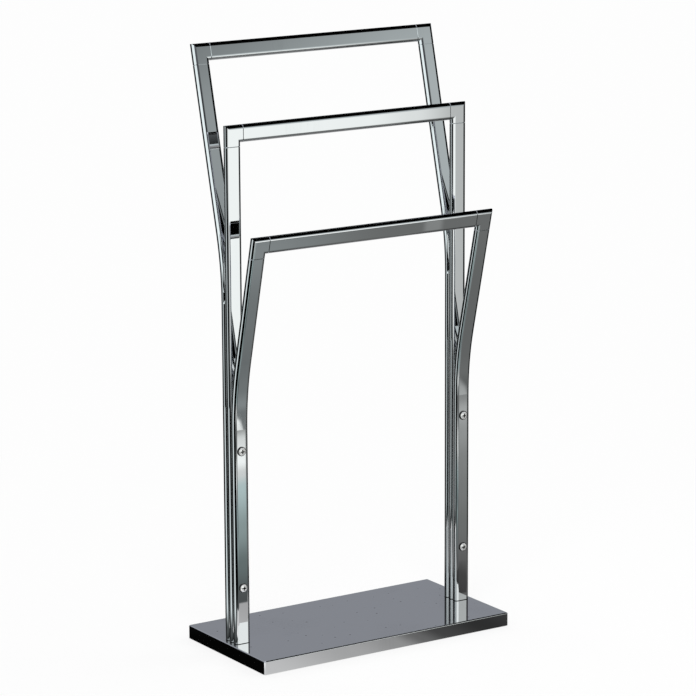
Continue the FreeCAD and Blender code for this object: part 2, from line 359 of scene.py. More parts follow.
def raise_dome(sizes):
    """Step the selected top of the head inwards and up, ring by ring, into a dome."""
    flat_top = 0.6    # share of a ring's step that stays flat at the very top
    radius = sizes.head_diameter / 2
    rise = sizes.head_height - sizes.head_rim
    sphere = (radius ** 2 + rise ** 2) / (2 * rise)
    spread = math.asin(radius / sphere)
    last_reach = radius
    last_height = 0.0
    for ring in range(1, sizes.dome_rings + 1):
        angle = spread * (1 - ring / (sizes.dome_rings + flat_top))
        reach = sphere * math.sin(angle)
        height = sphere * math.cos(angle) - (sphere - rise)
        bpy.ops.mesh.inset(thickness=last_reach - reach, depth=0)
        bpy.ops.transform.translate(value=(0, 0, height - last_height))
        last_reach = reach
        last_height = height


def mark_painted_shade(screw, sizes):
    """Mark the faces that get painted shade in the recess and a painted dark reflection at the
    foot of the dome.
    """
    painted_shade = screw.data.attributes.new(PAINTED_SHADE_ATTRIBUTE, "FLOAT", "FACE")
    dome_foot = sizes.head_rim + 1.1 * MM
    recess_floor = sizes.head_height - sizes.cross_depth * 0.7
    steepest_dome = 0.8    # a face whose normal's Z is below it is a wall of the recess
    for face in screw.data.polygons:
        reach = math.hypot(face.center.x, face.center.y)
        in_recess = reach < sizes.cross_span / 2 and (
            face.normal.z < steepest_dome or face.center.z < recess_floor)
        at_edge = face.center.z < dome_foot
        painted_shade.data[face.index].value = 1.0 if in_recess or at_edge else 0.0


def model_clamp_screw(sizes, shank_length):
    """Domed screw with a cross recess, standing on the origin with its head up."""
    radius = sizes.head_diameter / 2
    screw = start_cylinder(64, radius, sizes.head_rim, sizes.head_rim / 2)
    select_faces(screw, facing_up_above(sizes.head_rim * NEAR_TOP))
    raise_dome(sizes)
    draw_shank(screw, radius, sizes.clamp_shank, shank_length)
    combine(screw, cross_cutter(sizes), "DIFFERENCE")
    soften_edges(screw, width=0.12 * MM, angle=math.radians(38))
    # Painted shade in the recess and a painted dark reflection at the foot of the dome.
    mark_painted_shade(screw, sizes)
    return screw


def make_clamp_screws(sizes):
    """The four screws that clamp the tubes of each side together."""
    shank_length = CLAMP_HIGH.y - FRONT_FACE_Y
    pattern = model_clamp_screw(sizes, shank_length)
    radius = sizes.head_diameter / 2
    across = (CLAMP_LOW.x + radius, CLAMP_HIGH.x - radius)
    heights = (CLAMP_LOW.z + radius, CLAMP_HIGH.z - radius)
    places = [Vector((x, FRONT_FACE_Y, z)) for x in across for z in heights]
    head_to_front = Matrix.Rotation(math.radians(90), 4, "X")
    screws = join_copies(pattern, places, head_to_front, "clamp_screws_domed")
    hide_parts("clamp_screws")
    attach(screws, BODY)
    return screws


def socket_cutter(sizes):
    """Six-sided cutter for the socket, with a cone at its bottom."""
    corner_radius = sizes.socket_width / 2 / math.cos(math.radians(30))
    cone_depth = sizes.socket_depth * 0.25
    cone_tip = 0.2
    cutter = start_cylinder(
        6, corner_radius, sizes.socket_depth, sizes.cap_height - sizes.socket_depth / 2)
    select_faces(cutter, facing_down)
    extrude_up(-cone_depth)
    bpy.ops.transform.resize(value=(cone_tip, cone_tip, 1.0))
    select_faces(cutter, facing_up_above(sizes.cap_height * NEAR_TOP))
    extrude_up(MM)
    bpy.ops.object.mode_set(mode="OBJECT")
    return cutter


def model_base_screw(sizes, shank_length):
    """Cap screw with a fluted head and a socket, head up, bearing face on the origin."""
    radius = sizes.cap_diameter / 2
    flute_rim = 0.09 * MM
    flute_depth = 0.07 * MM
    top_rim = 0.35 * MM
    screw = start_cylinder(60, radius, sizes.cap_height, sizes.cap_height / 2)
    select_faces(screw, facing_aside)
    bpy.ops.mesh.inset(
        thickness=flute_rim, depth=-flute_depth, use_individual=True, use_even_offset=True)
    select_faces(screw, facing_up_above(sizes.cap_height * NEAR_TOP))
    bpy.ops.mesh.inset(thickness=top_rim, depth=0)
    draw_shank(screw, radius, sizes.cap_shank, shank_length)
    combine(screw, socket_cutter(sizes), "DIFFERENCE")
    soften_edges(screw, width=0.1 * MM, angle=math.radians(50))
    return screw


def make_base_screws(sizes):
    """The six cap screws that hold the uprights down, heads below the plate."""
    shank_length = BASE_HIGH.z - BASE_LOW.z - sizes.cap_height
    pattern = model_base_screw(sizes, shank_length)
    radius = sizes.cap_diameter / 2
    across = (BASE_LOW.x + radius, BASE_HIGH.x - radius)
    along = (BASE_LOW.y + radius, 0.0, BASE_HIGH.y - radius)
    bearing_height = BASE_LOW.z + sizes.cap_height
    places = [Vector((x, y, bearing_height)) for x in across for y in along]
    head_down = Matrix.Rotation(math.radians(180), 4, "X")
    screws = join_copies(pattern, places, head_down, "base_screws_capped")
    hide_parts("base_screws")
    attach(screws, BODY)
    return screws


# ---- helpers for shader nodes ----

def grey(level):
    """Linear brightness of a grey level from 0 to 255."""
    share = level / 255
    if share <= 0.04045:
        return share / 12.92
    return ((share + 0.055) / 1.055) ** 2.4


class NodeBench:
    """Short calls for adding and joining shader nodes in one tree."""

    def __init__(self, tree):
        self.tree = tree

    def add(self, kind, **settings):
        """Add a node and set its own properties."""
        node = self.tree.nodes.new(kind)
        for name, value in settings.items():
            setattr(node, name, value)
        return node

    def put(self, source, socket):
        """Join an output to an input, or set the input to a value."""
        if isinstance(source, bpy.types.NodeSocket):
            self.tree.links.new(source, socket)
        else:
            socket.default_value = source

    def fill(self, node, sources):
        """Join or set the inputs of a node, given by name or number."""
        for key, source in sources.items():
            self.put(source, node.inputs[key])
        return node

    def math(self, operation, *numbers, clamp=False):
        """One sum of numbers."""
        node = self.add("ShaderNodeMath", operation=operation, use_clamp=clamp)
        return self.fill(node, dict(enumerate(numbers))).outputs[0]

    def vector(self, operation, *vectors):
        """One sum of vectors; a length or a dot product comes out as a number."""
        node = self.add("ShaderNodeVectorMath", operation=operation)
        result = "Value" if operation in {"LENGTH", "DOT_PRODUCT"} else "Vector"
        return self.fill(node, dict(enumerate(vectors))).outputs[result]

    def fade(self, value, start, end, low=0.0, high=1.0):
        """Smooth step from low to high while the value goes from start to end."""
        node = self.add("ShaderNodeMapRange", interpolation_type="SMOOTHSTEP")
        self.fill(node, {"Value": value, "From Min": start, "From Max": end,
                         "To Min": low, "To Max": high})
        return node.outputs["Result"]

    def blend(self, share, first, second):
        """Colour between the first and the second."""
        node = self.add("ShaderNodeMix", data_type="RGBA")
        return self.fill(node, {0: share, 6: first, 7: second}).outputs[2]

    def place(self):
        """Where a point lies on the piece, in metres."""
        return self.add("ShaderNodeTexCoord").outputs["Object"]

    def split(self, vector):
        """The three numbers of a vector."""
        return self.fill(self.add("ShaderNodeSeparateXYZ"), {0: vector}).outputs

    def noise(self, place, scale, detail=2.0, distortion=0.0):
        """Soft noise, from 0 to 1."""
        node = self.add("ShaderNodeTexNoise")
        self.fill(node, {"Vector": place, "Scale": scale, "Detail": detail,
                         "Distortion": distortion})
        return node.outputs["Fac"]

    def emission(self, colour):
        """Surface that shines in a colour."""
        return self.fill(self.add("ShaderNodeEmission"), {"Color": colour}).outputs[0]

    def mix_surfaces(self, share, first, second):
        """Surface between the first and the second."""
        node = self.add("ShaderNodeMixShader")
        return self.fill(node, {0: share, 1: first, 2: second}).outputs[0]

    def group(self, tree, **values):
        """Place a node group, fill in its inputs and return its outputs."""
        node = self.add("ShaderNodeGroup", node_tree=tree)
        named = {name.replace("_", " "): value for name, value in values.items()}
        return self.fill(node, named).outputs


def new_group(name, inputs, outputs):
    """Start a shader node group whose named inputs and outputs are numbers."""
    tree = bpy.data.node_groups.new(name, "ShaderNodeTree")
    for label, default in inputs.items():
        socket = tree.interface.new_socket(name=label, in_out="INPUT", socket_type=NUMBER)
        socket.default_value = default
    for label in outputs:
        tree.interface.new_socket(name=label, in_out="OUTPUT", socket_type=NUMBER)
    bench = NodeBench(tree)
    return bench, bench.add("NodeGroupInput").outputs, bench.add("NodeGroupOutput").inputs


# ---- shared surface effects ----

def wiped_haze_group():
    """Roughness of polished plate: clean, with faint wipe marks and finger smears."""
    bench, given, result = new_group(
        "wiped haze", {"Clean": 0.02, "Marks": 0.03, "Scale": 1.0}, ["Roughness", "Smear"])
    place = bench.place()
    swirl_place = bench.vector("MULTIPLY", place, (9.0, 9.0, 2.4))
    swirl = bench.noise(swirl_place, given["Scale"], detail=4.0, distortion=0.8)
    streak_place = bench.vector("MULTIPLY", place, (260.0, 260.0, 14.0))
    streaks = bench.noise(streak_place, given["Scale"])
    broad = bench.fade(swirl, 0.48, 0.72)
    fine = bench.fade(streaks, 0.35, 0.75)
    smear = bench.math("MULTIPLY", broad, bench.math("ADD", fine, 0.35))
    added = bench.math("MULTIPLY", smear, given["Marks"])
    bench.put(bench.math("ADD", added, given["Clean"]), result["Roughness"])
    bench.put(smear, result["Smear"])
    return bench.tree


def settled_specks_group():
    """Mask of small specks that have settled on faces that look up, one in half the cells."""
    bench, given, result = new_group(
        "settled specks", {"Amount": 0.5, "Spacing": 0.03, "Largest": 0.0008}, ["Mask"])
    cells = bench.add("ShaderNodeTexVoronoi", feature="F1", voronoi_dimensions="2D")
    flat_place = bench.vector("MULTIPLY", bench.place(), (1.0, 1.0, 0.0))
    per_metre = bench.math("DIVIDE", 1.0, given["Spacing"])
    bench.fill(cells, {"Vector": flat_place, "Scale": per_metre})
    chance = bench.fill(bench.add("ShaderNodeSeparateColor"), {0: cells.outputs["Color"]}).outputs
    here = bench.fade(chance["Red"], 0.45, 0.5)
    size = bench.fade(chance["Green"], 0.0, 1.0, 0.35, 1.0)
    largest = bench.math("MULTIPLY", given["Largest"], per_metre)
    ratio = bench.math("DIVIDE", cells.outputs["Distance"], bench.math("MULTIPLY", largest, size))
    spot = bench.fade(ratio, 1.0, 0.55)
    normal = bench.add("ShaderNodeNewGeometry").outputs["Normal"]
    up = bench.fade(bench.vector("DOT_PRODUCT", normal, (0.0, 0.0, 1.0)), 0.9, 0.98)
    mask = bench.math("MULTIPLY", bench.math("MULTIPLY", spot, here), up)
    bench.put(bench.math("MULTIPLY", mask, given["Amount"], clamp=True), result["Mask"])
    return bench.tree


def rolled_ripple_group():
    """Height of the very slight unevenness that mirror plate on steel shows."""
    bench, given, result = new_group(
        "rolled ripple", {"Length": 0.05, "Along Z": 1.0}, ["Height"])
    stretch = bench.add("ShaderNodeCombineXYZ")
    bench.fill(stretch, {0: 1.0, 1: 1.0, 2: given["Along Z"]})
    place = bench.vector("MULTIPLY", bench.place(), stretch.outputs[0])
    per_metre = bench.math("DIVIDE", 1.0, given["Length"])
    bench.put(bench.noise(place, per_metre, detail=1.0), result["Height"])
    return bench.tree


def fine_grain_group():
    """Grain for cast, moulded and painted surfaces: a height and a shade."""
    bench, given, result = new_group(
        "fine grain", {"Grain": 0.0006, "Patch": 0.02}, ["Height", "Shade"])
    place = bench.place()
    small = bench.noise(place, bench.math("DIVIDE", 1.0, given["Grain"]))
    large = bench.noise(place, bench.math("DIVIDE", 1.0, given["Patch"]), detail=5.0)
    bench.put(small, result["Height"])
    bench.put(bench.fade(large, 0.3, 0.7), result["Shade"])
    return bench.tree


EFFECTS = {
    "wiped haze": wiped_haze_group,
    "settled specks": settled_specks_group,
    "rolled ripple": rolled_ripple_group,
    "fine grain": fine_grain_group,
}


def effect(name):
    """A shared node group by its name, made when it is first asked for."""
    return bpy.data.node_groups.get(name) or EFFECTS[name]()


# ---- finishes ----

FOOT_LINE_COLOUR = (0.01, 0.01, 0.01, 1.0)
DUST_COLOUR = (0.03, 0.03, 0.035, 1.0)
# Painted shade: the dark colour of the screws' recess, and a painted dark reflection at the foot
# of the dome.
PAINTED_SHADE_COLOUR = (0.012, 0.012, 0.012, 1.0)


def start_material(name):
    """New node material; returns it with its bench and its shader."""
    material = bpy.data.materials.new(name)
    material.use_nodes = True
    shader = material.node_tree.nodes["Principled BSDF"]
    return material, NodeBench(material.node_tree), shader


def with_alpha(colour, factor=1.0):
    """Four numbers from a colour of three, each multiplied by a factor."""
    return (colour[0] * factor, colour[1] * factor, colour[2] * factor, 1.0)


def join_bump(bench, shader, height, distance):
    """Feed a height into the shader's normal through a bump."""
    bump = bench.add("ShaderNodeBump")
    bench.fill(bump, {"Strength": 1.0, "Distance": distance, "Height": height})
    bench.put(bump.outputs["Normal"], shader.inputs["Normal"])


def coat(bench, shader, colour, roughness, metallic):
    """Give the shader its colour, its roughness and how metallic it is."""
    bench.fill(shader, {"Base Color": colour, "Roughness": roughness, "Metallic": metallic})


def varied(bench, share, colour, factor):
    """Colour that goes towards a multiple of itself."""
    return bench.blend(share, with_alpha(colour), with_alpha(colour, factor))


def darken_foot(bench, colour, finishes):
    """Darken a thin band at the foot of a tube, where it meets the base."""
    line_top = UPRIGHT_LOW.z + finishes.foot_line
    blur = 0.1 * MM
    at_foot = bench.fade(bench.split(bench.place())[2], line_top, line_top - blur)
    return bench.blend(at_foot, colour, FOOT_LINE_COLOUR)


def chrome_finish(name, finishes, ripple, ripple_length, specks=False, feet=False):
    """Mirror chrome plate with wipe marks and a faint ripple, for sheet, tubes or castings."""
    material, bench, shader = start_material(name)
    haze = bench.group(
        effect("wiped haze"), Clean=finishes.chrome_haze, Marks=finishes.wipe_marks, Scale=1.0)
    colour = varied(bench, haze["Smear"], finishes.chrome_colour, 0.95)
    if specks:
        dust = bench.group(
            effect("settled specks"), Amount=finishes.dust, Spacing=0.030, Largest=0.0017)
        colour = bench.blend(dust["Mask"], colour, DUST_COLOUR)
    if feet:
        colour = darken_foot(bench, colour, finishes)
    coat(bench, shader, colour, haze["Roughness"], metallic=1.0)
    wave = bench.group(effect("rolled ripple"), Length=ripple_length, Along_Z=0.25)
    join_bump(bench, shader, wave["Height"], ripple)
    return material


def screw_finish(finishes):
    """Satin plate on the domed screws, with painted shade in the recess and a painted dark
    reflection at the foot of the dome.
    """
    material, bench, shader = start_material("satin plated screw")
    haze = bench.group(effect("wiped haze"), Clean=0.16, Marks=0.08, Scale=6.0)
    plate = varied(bench, haze["Smear"], finishes.screw_colour, 0.85)
    # Painted shade and a painted dark reflection, on the faces marked when the screw was
    # modelled.
    painted_shade_mask = bench.add("ShaderNodeAttribute", attribute_name=PAINTED_SHADE_ATTRIBUTE).outputs["Fac"]
    coat(bench, shader, bench.blend(painted_shade_mask, plate, PAINTED_SHADE_COLOUR), haze["Roughness"], metallic=0.5)
    return material


def grained_finish(name, colour, patch_colour, grain, patch, roughness, bump, metallic=0.0):
    """Finish with a fine grain, whose colour and roughness vary from patch to patch."""
    material, bench, shader = start_material(name)
    surface = bench.group(effect("fine grain"), Grain=grain, Patch=patch)
    shade = surface["Shade"]
    tinted_colour = bench.blend(shade, with_alpha(colour), patch_colour)
    coat(bench, shader, tinted_colour, bench.fade(shade, 0.0, 1.0, *roughness), metallic)
    join_bump(bench, shader, surface["Height"], bump)
    return material


def zinc_finish(finishes):
    """Dull zinc plate with cloudy, slightly yellow patches."""
    red, green, blue = finishes.zinc_colour
    cloud = (red * 0.8, green * 0.78, blue * 0.7, 1.0)
    return grained_finish(
        "dull zinc plate", finishes.zinc_colour, cloud, grain=0.0004, patch=0.004,
        roughness=(0.28, 0.42), bump=0.00002, metallic=1.0)


def aluminium_finish(finishes):
    """Machined aluminium with tool lines round the plug's length."""
    material, bench, shader = start_material("machined aluminium")
    lines = bench.noise(bench.vector("MULTIPLY", bench.place(), (120.0, 120.0, 2600.0)), 1.0)
    grain = bench.group(effect("fine grain"), Grain=0.0005, Patch=0.006)
    colour = varied(bench, grain["Shade"], finishes.aluminium_colour, 0.86)
    coat(bench, shader, colour, bench.fade(lines, 0.3, 0.7, 0.24, 0.38), metallic=1.0)
    join_bump(bench, shader, lines, 0.00002)
    return material


def painted_finish(finishes):
    """Matt paint on the cut weight plate, with a fine orange peel and scuffs."""
    paint = finishes.paint_colour
    return grained_finish(
        "matt black paint", paint, with_alpha(paint, 1.7), grain=0.0009, patch=0.03,
        roughness=(0.5, 0.68), bump=0.00008)


def rubber_finish(finishes):
    """Moulded black rubber, paler where it is dusty."""
    rubber = finishes.rubber_colour
    return grained_finish(
        "moulded rubber", rubber, with_alpha(rubber, 2.2), grain=0.0005, patch=0.008,
        roughness=(0.62, 0.85), bump=0.00006)


def dress(node_names, material):
    """Give CAD nodes a finished material in place of their plain one."""
    for name in node_names:
        for slot in frame["nodes"][name].material_slots:
            slot.material = material


def ends_of(kind, rows=ROWS):
    """Names of one kind of part on both sides of the rows."""
    return ["%s_%s_%s" % (kind, row, side) for row in rows for side in SIDES]


# ---- studio ----

# Share of the studio's light that chrome gives back, and the tints of what it sees.
CHROME_SHARE = 0.85
NEUTRAL = (1.0, 1.0, 1.0)
CARD_TINT = (0.965, 1.0, 0.985)
FLOOR_TINT = (0.91, 1.0, 1.01)
TEAL_TINT = (0.8, 1.0, 1.0)
BACKDROP_TINT = (0.95, 0.99, 1.10)

# Place and size of the front card.
CARD_AHEAD = -1.25
CARD_MIDDLE = 0.2
CARD_WIDTH = 2.6
CARD_HEIGHT = 0.65

LAMP_AIM = (0.0, 0.0, 0.3)
LAMP_SIZE = 2.0

# Grey levels by bearing in degrees from the front, positive to the right. The low walls lie
# below the horizon, the level ones up to 8 degrees over it, and the high ones from there up
# to the ceiling.
WALLS_BEHIND = ((108, 1), (124, 120), (148, 195), (170, 165), (180, 140))
LOW_WALLS = (
    (-180, 140), (-164, 60), (-154, 1), (-118, 1), (-108, 190), (-92, 200), (-84, 60), (-78, 1),
    (-50, 1), (-38, 100), (-26, 225), (0, 243), (30, 200), (36, 170), (42, 1)) + WALLS_BEHIND
LEVEL_WALLS = (
    (-180, 140), (-164, 60), (-154, 1), (-110, 1), (-99, 240), (-64, 250), (-54, 10), (-48, 1),
    (-6, 1), (8, 110), (24, 160), (31, 186), (36, 166), (42, 1)) + WALLS_BEHIND
HIGH_WALLS = (
    (-180, 140), (-164, 60), (-154, 1), (-104, 1), (-94, 110), (-70, 235), (-36, 240), (-26, 10),
    (-16, 1), (4, 2), (16, 112), (31, 145), (36, 175), (42, 1)) + WALLS_BEHIND

# Grey levels by height in degrees over the horizon.
CEILING = ((16, 40), (21, 120), (32, 150), (50, 180), (66, 205))

# Soft-edged cards: grey level, tint, bearing of the middle, half width in degrees, bottom, top,
# blur of the sides and blur of the ends. On the walls bottom, top and end blur are degrees over
# the horizon, and on the floor metres from the middle. Each card lies over those before it.
WALL_CARDS = (
    (132, BACKDROP_TINT, 150.0, 30.0, 15.2, 22.0, 8.0, 0.6),
    (1, NEUTRAL, 147.0, 10.0, 10.0, 15.3, 3.0, 0.5),
)
FLOOR_CARDS = (
    (150, NEUTRAL, 150.0, 46.0, 0.3, 9.0, 10.0, 0.15),
    (2, NEUTRAL, 87.0, 26.0, 0.55, 9.0, 5.0, 0.1),
    (0, NEUTRAL, -133.0, 29.0, 0.2, 9.0, 4.0, 0.1),
    (215, FLOOR_TINT, -90.0, 14.0, 0.38, 9.0, 4.0, 0.06),
    (0, NEUTRAL, -46.0, 27.0, 0.38, 9.0, 4.0, 0.06),
    (8, NEUTRAL, 4.0, 6.0, 0.6, 1.22, 3.0, 0.05),
    # The last card is painted shadow: a dark patch on the floor close to the stand, on its left,
    # which chrome reflects.
    (4, NEUTRAL, -90.0, 42.0, -1.0, 0.28, 6.0, 0.03),
)

# Grey levels across the floor just in front of the base, by metres to the right: painted light
# and shade that the base's front rim reflects, bright on the left and a painted shadow to the
# right.
NEAR_STRIP = ((-0.26, 255), (-0.225, 200), (-0.19, 188), (-0.05, 162), (0.03, 143), (0.07, 100),
              (0.11, 66), (0.18, 46), (0.3, 66), (0.4, 84))

# Grey levels across the front card, by metres to the right, and low down on it.
FRONT_CARD = ((-1.1, 60), (-0.9, 130), (-0.7, 200), (-0.5, 230), (-0.3, 241), (0.5, 243),
              (0.72, 241), (0.85, 238), (0.96, 221), (1.06, 181), (1.15, 148), (1.3, 90),
              (1.45, 30))
FRONT_CARD_FOOT = 102


def soft_card_group():
    """Mask of a card in the studio, by its bearing from the front and its height."""
    bench, given, result = new_group(
        "soft card",
        {"Bearing": 0.0, "Height": 0.0, "Middle": 0.0, "Half Width": 10.0, "Bottom": -90.0,
         "Top": 90.0, "Side Blur": 5.0, "End Blur": 5.0},
        ["Mask"])

    def past(value, edge, blur):
        """From 0 to 1 while a value passes an edge."""
        start = bench.math("SUBTRACT", given[edge], given[blur])
        end = bench.math("ADD", given[edge], given[blur])
        return bench.fade(value, start, end)

    turned = bench.math("SUBTRACT", given["Bearing"], given["Middle"])
    wrapped = bench.math("WRAP", turned, 180.0)
    wrapped.node.inputs[2].default_value = -180.0
    aside = past(bench.math("ABSOLUTE", wrapped), "Half Width", "Side Blur")
    across = bench.math("SUBTRACT", 1.0, aside)
    above = past(given["Height"], "Bottom", "End Blur")
    below = bench.math("SUBTRACT", 1.0, past(given["Height"], "Top", "End Blur"))
    mask = bench.math("MULTIPLY", across, bench.math("MULTIPLY", above, below))
    bench.put(mask, result["Mask"])
    return bench.tree


def card_colour(level, tint):
    """Light of a studio card so that chrome shows it at a grey level from 0 to 255."""
    return with_alpha(tint, grey(level) / CHROME_SHARE)


def tinted(tint, *tones):
    """Give each (place, grey level) a tint."""
    return [(place, level, tint) for place, level in tones]


def tones_over(bench, value, start, end, tones):
    """Colour that follows a value smoothly through (place, grey level, tint) stops."""
    node = bench.add("ShaderNodeValToRGB")
    node.color_ramp.interpolation = "EASE"
    points = node.color_ramp.elements
    while len(points) < len(tones):
        points.new(0.5)
    for point, (place, level, tint) in zip(points, tones):
        point.position = (place - start) / (end - start)
        point.color = card_colour(level, tint)
    share = bench.math("DIVIDE", bench.math("SUBTRACT", value, start), end - start)
    bench.put(share, node.inputs["Fac"])
    return node.outputs["Color"]


def bearing_of(bench, parts):
    """Degrees round from the front, positive to the right."""
    toward_front = bench.math("MULTIPLY", parts[1], -1.0)
    turn = bench.math("ARCTAN2", parts[0], toward_front)
    return bench.math("MULTIPLY", turn, math.degrees(1.0))


def lay_cards(bench, light, bearing, height, cards):
    """Lay soft-edged cards over the light so far."""
    for level, tint, middle, half_width, bottom, top, side_blur, end_blur in cards:
        card = bench.group(
            bpy.data.node_groups["soft card"], Bearing=bearing, Height=height, Middle=middle,
            Half_Width=half_width, Bottom=bottom, Top=top, Side_Blur=side_blur, End_Blur=end_blur)
        light = bench.blend(card["Mask"], light, card_colour(level, tint))
    return light


def studio_reflection(bench):
    """What chrome sees beyond the floor: walls, cards and dark gaps by their bearing."""
    parts = bench.split(bench.add("ShaderNodeTexCoord").outputs["Generated"])
    bearing = bearing_of(bench, parts)
    height = bench.math("MULTIPLY", bench.math("ARCSINE", parts[2]), math.degrees(1.0))
    low, level, high = [
        tones_over(bench, bearing, -180.0, 180.0, tinted(FLOOR_TINT, *walls))
        for walls in (LOW_WALLS, LEVEL_WALLS, HIGH_WALLS)]
    light = bench.blend(bench.fade(height, -7.0, -3.0), low, level)
    light = bench.blend(bench.fade(height, 7.5, 9.5), light, high)
    ceiling = tones_over(bench, height, 0.0, 90.0, tinted(BACKDROP_TINT, *CEILING))
    light = bench.blend(bench.fade(height, 15.0, 19.0), light, ceiling)
    light = lay_cards(bench, light, bearing, height, WALL_CARDS)
    ring_slant = 0.54    # X of the directions on a dark ring that the rounded tube edges see
    off_ring = bench.math("ABSOLUTE", bench.math("SUBTRACT", parts[0], ring_slant))
    on_ring = bench.fade(off_ring, 0.075, 0.055)
    dark = bench.math("MULTIPLY", on_ring, bench.fade(height, 18.6, 20.0))
    return bench.blend(dark, light, card_colour(1, NEUTRAL))


def painted_floor_reflection(bench):
    """What chrome sees of the floor is a painted reflection: the floor glows for glossy rays with
    painted tones that brighten towards the front card.

    The straight uprights see two tracks, which run forward and to the right from their feet
    and have tones of their own. The leaned ones see the floor between and beside them.
    """
    place = bench.place()
    parts = bench.split(place)
    bearing = bearing_of(bench, parts)
    away = bench.vector("LENGTH", place)
    ahead = bench.math("MULTIPLY", parts[1], -1.0)

    def by_reach(tones):
        """Tones by the distance in front of the middle, up to 1.5 m."""
        return tones_over(bench, ahead, 0.0, 1.5, tones)

    def aside_from(slope):
        """How far a place lies to the right of a line that runs forward from the middle."""
        return bench.math("SUBTRACT", parts[0], bench.math("MULTIPLY", ahead, slope))

    leaned_left = by_reach(tinted(
        FLOOR_TINT, (0.26, 78), (0.42, 104), (0.62, 114), (0.76, 132), (0.86, 112), (1.25, 104)))
    leaned_right = by_reach(tinted(NEUTRAL, (0.2, 86)) + tinted(
        CARD_TINT, (0.41, 98), (0.6, 99), (0.76, 104), (0.9, 96), (1.25, 92)))
    straight_left = by_reach(
        tinted(FLOOR_TINT, (0.26, 78))
        + tinted(TEAL_TINT, (0.42, 108), (0.6, 148), (0.82, 188))
        + tinted(CARD_TINT, (0.9, 205), (0.97, 243), (1.1, 214), (1.17, 152))
        + tinted(FLOOR_TINT, (1.23, 104)))
    straight_right = by_reach(tinted(NEUTRAL, (0.2, 90)) + tinted(
        CARD_TINT, (0.41, 108), (0.6, 120), (0.76, 129), (0.92, 146), (1.06, 163), (1.15, 134),
        (1.23, 94)))

    # Metres to the right for each metre forward, and where the tracks lie at no distance.
    middle_slope, left_slope, right_slope = 0.65, 0.606, 0.7026
    left_edge, right_middle = -0.1905, 0.178
    to_right = bench.fade(aside_from(middle_slope), -0.15, 0.15)
    on_left = bench.fade(aside_from(left_slope), left_edge + 0.002, left_edge - 0.002)
    off_right = bench.math("SUBTRACT", aside_from(right_slope), right_middle)
    on_right = bench.fade(bench.math("ABSOLUTE", off_right), 0.026, 0.011)
    light = bench.blend(to_right, leaned_left, leaned_right)
    light = bench.blend(on_left, light, straight_left)
    light = bench.blend(on_right, light, straight_right)
    light = lay_cards(bench, light, bearing, away, FLOOR_CARDS)

    # Painted light and shade on the floor just in front of the base, which its front rim
    # reflects.
    near = tones_over(bench, parts[0], -0.3, 0.5, tinted(NEUTRAL, *NEAR_STRIP))
    across = bench.fade(parts[0], 0.38, 0.3)
    in_front = bench.math(
        "MULTIPLY", bench.fade(ahead, 0.098, 0.106), bench.fade(ahead, 0.25, 0.24))
    beside = bench.fade(parts[0], -0.3, -0.26)
    here = bench.math("MULTIPLY", bench.math("MULTIPLY", across, in_front), beside)
    return bench.blend(here, light, near)


def stage_material(name):
    """Node material without a shader; returns it with its bench and its surface input."""
    material = bpy.data.materials.new(name)
    material.use_nodes = True
    nodes = material.node_tree.nodes
    nodes.remove(nodes["Principled BSDF"])
    return material, NodeBench(material.node_tree), nodes["Material Output"].inputs["Surface"]


def make_front_card():
    """Pale card in front, which only the chrome sees; darker at its ends and low down."""
    bpy.ops.mesh.primitive_plane_add(
        size=1.0, location=(CARD_MIDDLE, CARD_AHEAD, CARD_HEIGHT / 2),
        rotation=(math.radians(90), 0, 0))
    card = bpy.context.object
    card.name = "front_card"
    card.scale = (CARD_WIDTH, CARD_HEIGHT, 1.0)
    settle(card)
    material, bench, surface = stage_material("front card")
    parts = bench.split(bench.place())
    left = CARD_MIDDLE - CARD_WIDTH / 2
    tones = tones_over(bench, parts[0], left, left + CARD_WIDTH, tinted(CARD_TINT, *FRONT_CARD))
    low_down = bench.fade(parts[2], 0.125, 0.085)
    glow = bench.blend(low_down, tones, card_colour(FRONT_CARD_FOOT, CARD_TINT))
    bench.put(bench.emission(glow), surface)
    card.data.materials.append(material)
    card.visible_camera = False
    card.visible_diffuse = False
    card.visible_transmission = False
    card.visible_shadow = False


def page_colour(studio):
    """The plain page that the camera sees."""
    return with_alpha(NEUTRAL, studio.page_white)


def make_world(studio):
    """Plain soft light; the camera sees a plain page, and chrome sees the studio."""
    world = bpy.data.worlds.new("studio light")
    bpy.context.scene.world = world
    world.use_nodes = True
    bench = NodeBench(world.node_tree)
    ray = bench.add("ShaderNodeLightPath").outputs
    fill = with_alpha(NEUTRAL, studio.fill)
    light = bench.blend(ray["Is Glossy Ray"], fill, studio_reflection(bench))
    light = bench.blend(ray["Is Transmission Ray"], light, page_colour(studio))
    light = bench.blend(ray["Is Camera Ray"], light, page_colour(studio))
    bench.put(light, world.node_tree.nodes["Background"].inputs["Color"])


